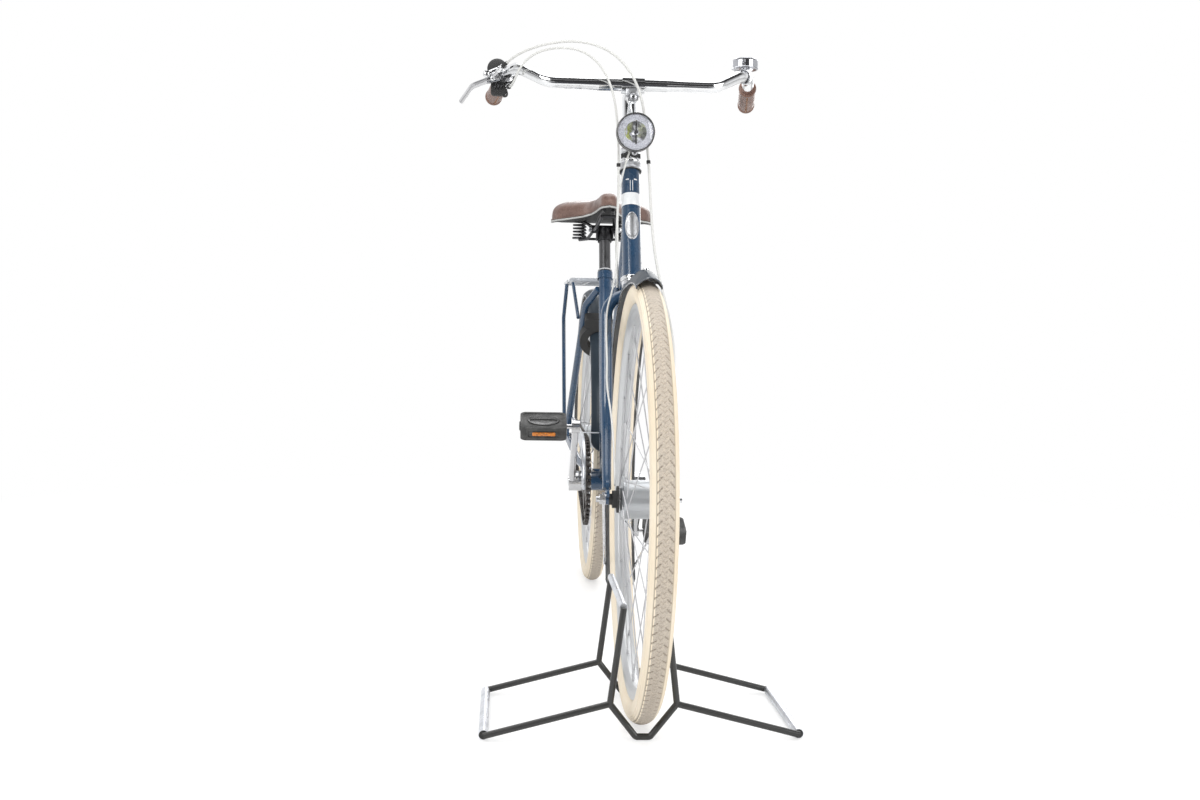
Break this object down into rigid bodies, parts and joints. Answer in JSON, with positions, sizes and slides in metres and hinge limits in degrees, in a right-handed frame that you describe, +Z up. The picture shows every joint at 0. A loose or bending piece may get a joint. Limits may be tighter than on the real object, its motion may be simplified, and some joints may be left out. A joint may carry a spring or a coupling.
{
  "type": "city bicycle",
  "caption": "Step-through city bicycle with mudguards, rack, chain guard, headlight and sprung saddle, its front wheel held in a floor display stand.",
  "frame": {"origin": "on the floor, at the middle of the whole object's box", "axes": "+Z up, +Y back along the bicycle, +X towards the rider's left"},
  "size_m": [0.576, 1.8133, 1.1196],
  "materials": {
    "frame_paint": "blue enamel",
    "mudguard_paint": "slate blue enamel",
    "chrome": "polished",
    "stay_wire": "plated wire",
    "hub_alloy": "satin",
    "rim_alloy": "satin",
    "spoke_steel": "stainless",
    "crank_alloy": "polished",
    "guard_silver": "silver",
    "chain_steel": "oiled",
    "black_plastic": "fine grain",
    "black_steel": "satin black",
    "rack_paint": "grey enamel",
    "stand_tube_steel": "zinc plated",
    "tyre_cream": "cream rubber",
    "grip_brown": "brown",
    "saddle_brown": "brown",
    "cable_grey": "light grey housing",
    "lead_black": "black lead",
    "lamp_shell": "dark gloss",
    "lamp_lens": "clear",
    "lamp_red": "red",
    "pedal_black": "black grit"
  },
  "bodies": {
    "front_assembly": {"fork_crown": "frame_paint", "fork_blades": "frame_paint", "headset_nut": "chrome", "stem": "chrome", "handlebar": "chrome", "grip_left": "grip_brown", "grip_right": "grip_brown", "brake_lever": "crank_alloy", "shifter": "black_plastic", "bell": "chrome", "headlight": "lamp_shell", "headlight_lens": "lamp_lens", "front_mudguard": "mudguard_paint", "front_mudguard_stays": "stay_wire", "front_axle": "stay_wire", "front_hub_cap": "black_plastic", "front_brake_arm": "black_steel", "front_brake_cable": "cable_grey", "shift_cable": "cable_grey", "lamp_cable": "lead_black", "stand_frames": "black_steel", "stand_tubes": "stand_tube_steel"},
    "frame": {"head_tube": "frame_paint", "headset_cups": "chrome", "down_tube": "frame_paint", "step_tube": "frame_paint", "seat_tube": "frame_paint", "bottom_bracket": "frame_paint", "chain_stays": "frame_paint", "seat_stays": "frame_paint", "rear_axle": "stay_wire", "coaster_arm": "black_steel", "seat_post": "black_steel", "seat_collar": "chrome", "saddle_cover": "saddle_brown", "saddle_frame": "chrome", "saddle_springs": "chrome", "rear_mudguard": "mudguard_paint", "rear_mudguard_stays": "stay_wire", "rack_platform": "rack_paint", "rack_legs": "frame_paint", "chain": "chain_steel", "chain_guard": "guard_silver", "ring_lock": "black_plastic", "rear_light": "lamp_red"},
    "front_wheel": {"front_tyre": "tyre_cream", "front_rim": "rim_alloy", "front_spokes": "spoke_steel", "front_hub": "hub_alloy"},
    "rear_wheel": {"rear_tyre": "tyre_cream", "rear_rim": "rim_alloy", "rear_spokes": "spoke_steel", "rear_hub": "hub_alloy"},
    "crank": {"chainring": "chain_steel", "right_crank": "crank_alloy", "left_crank": "crank_alloy"},
    "right_pedal": {"right_pedal": "pedal_black"},
    "left_pedal": {"left_pedal": "pedal_black"},
    "sprocket": {"sprocket": "chain_steel"}
  },
  "joints": [
    {"name": "steering", "type": "hinge", "parent": "front_assembly", "child": "frame", "pos_m": [0.02387, -0.50037, 0.32948], "axis": [0, 0.342, 0.9397], "range_deg": [-60, 60], "deforming": ["shift_cable"]},
    {"name": "front_wheel_spin", "type": "hinge", "parent": "front_assembly", "child": "front_wheel", "pos_m": [0.02387, -0.55675, 0.35], "axis": [1, 0, 0], "continuous": true},
    {"name": "rear_wheel_spin", "type": "hinge", "parent": "frame", "child": "rear_wheel", "pos_m": [0.02387, 0.54475, 0.35], "axis": [1, 0, 0], "continuous": true},
    {"name": "crank_spin", "type": "hinge", "parent": "frame", "child": "crank", "pos_m": [0.02387, 0.09324, 0.297], "axis": [1, 0, 0], "continuous": true},
    {"name": "sprocket_spin", "type": "hinge", "parent": "frame", "child": "sprocket", "pos_m": [0.02387, 0.54475, 0.35], "axis": [1, 0, 0], "continuous": true},
    {"name": "right_pedal_spin", "type": "hinge", "parent": "crank", "child": "right_pedal", "pos_m": [0.02387, -0.02313, 0.42092], "axis": [1, 0, 0], "continuous": true},
    {"name": "left_pedal_spin", "type": "hinge", "parent": "crank", "child": "left_pedal", "pos_m": [0.02387, 0.20962, 0.17308], "axis": [1, 0, 0], "continuous": true}
  ],
  "couplings": [
    {"joint": "sprocket_spin", "follows": "crank_spin", "ratio": 2.2}
  ]
}
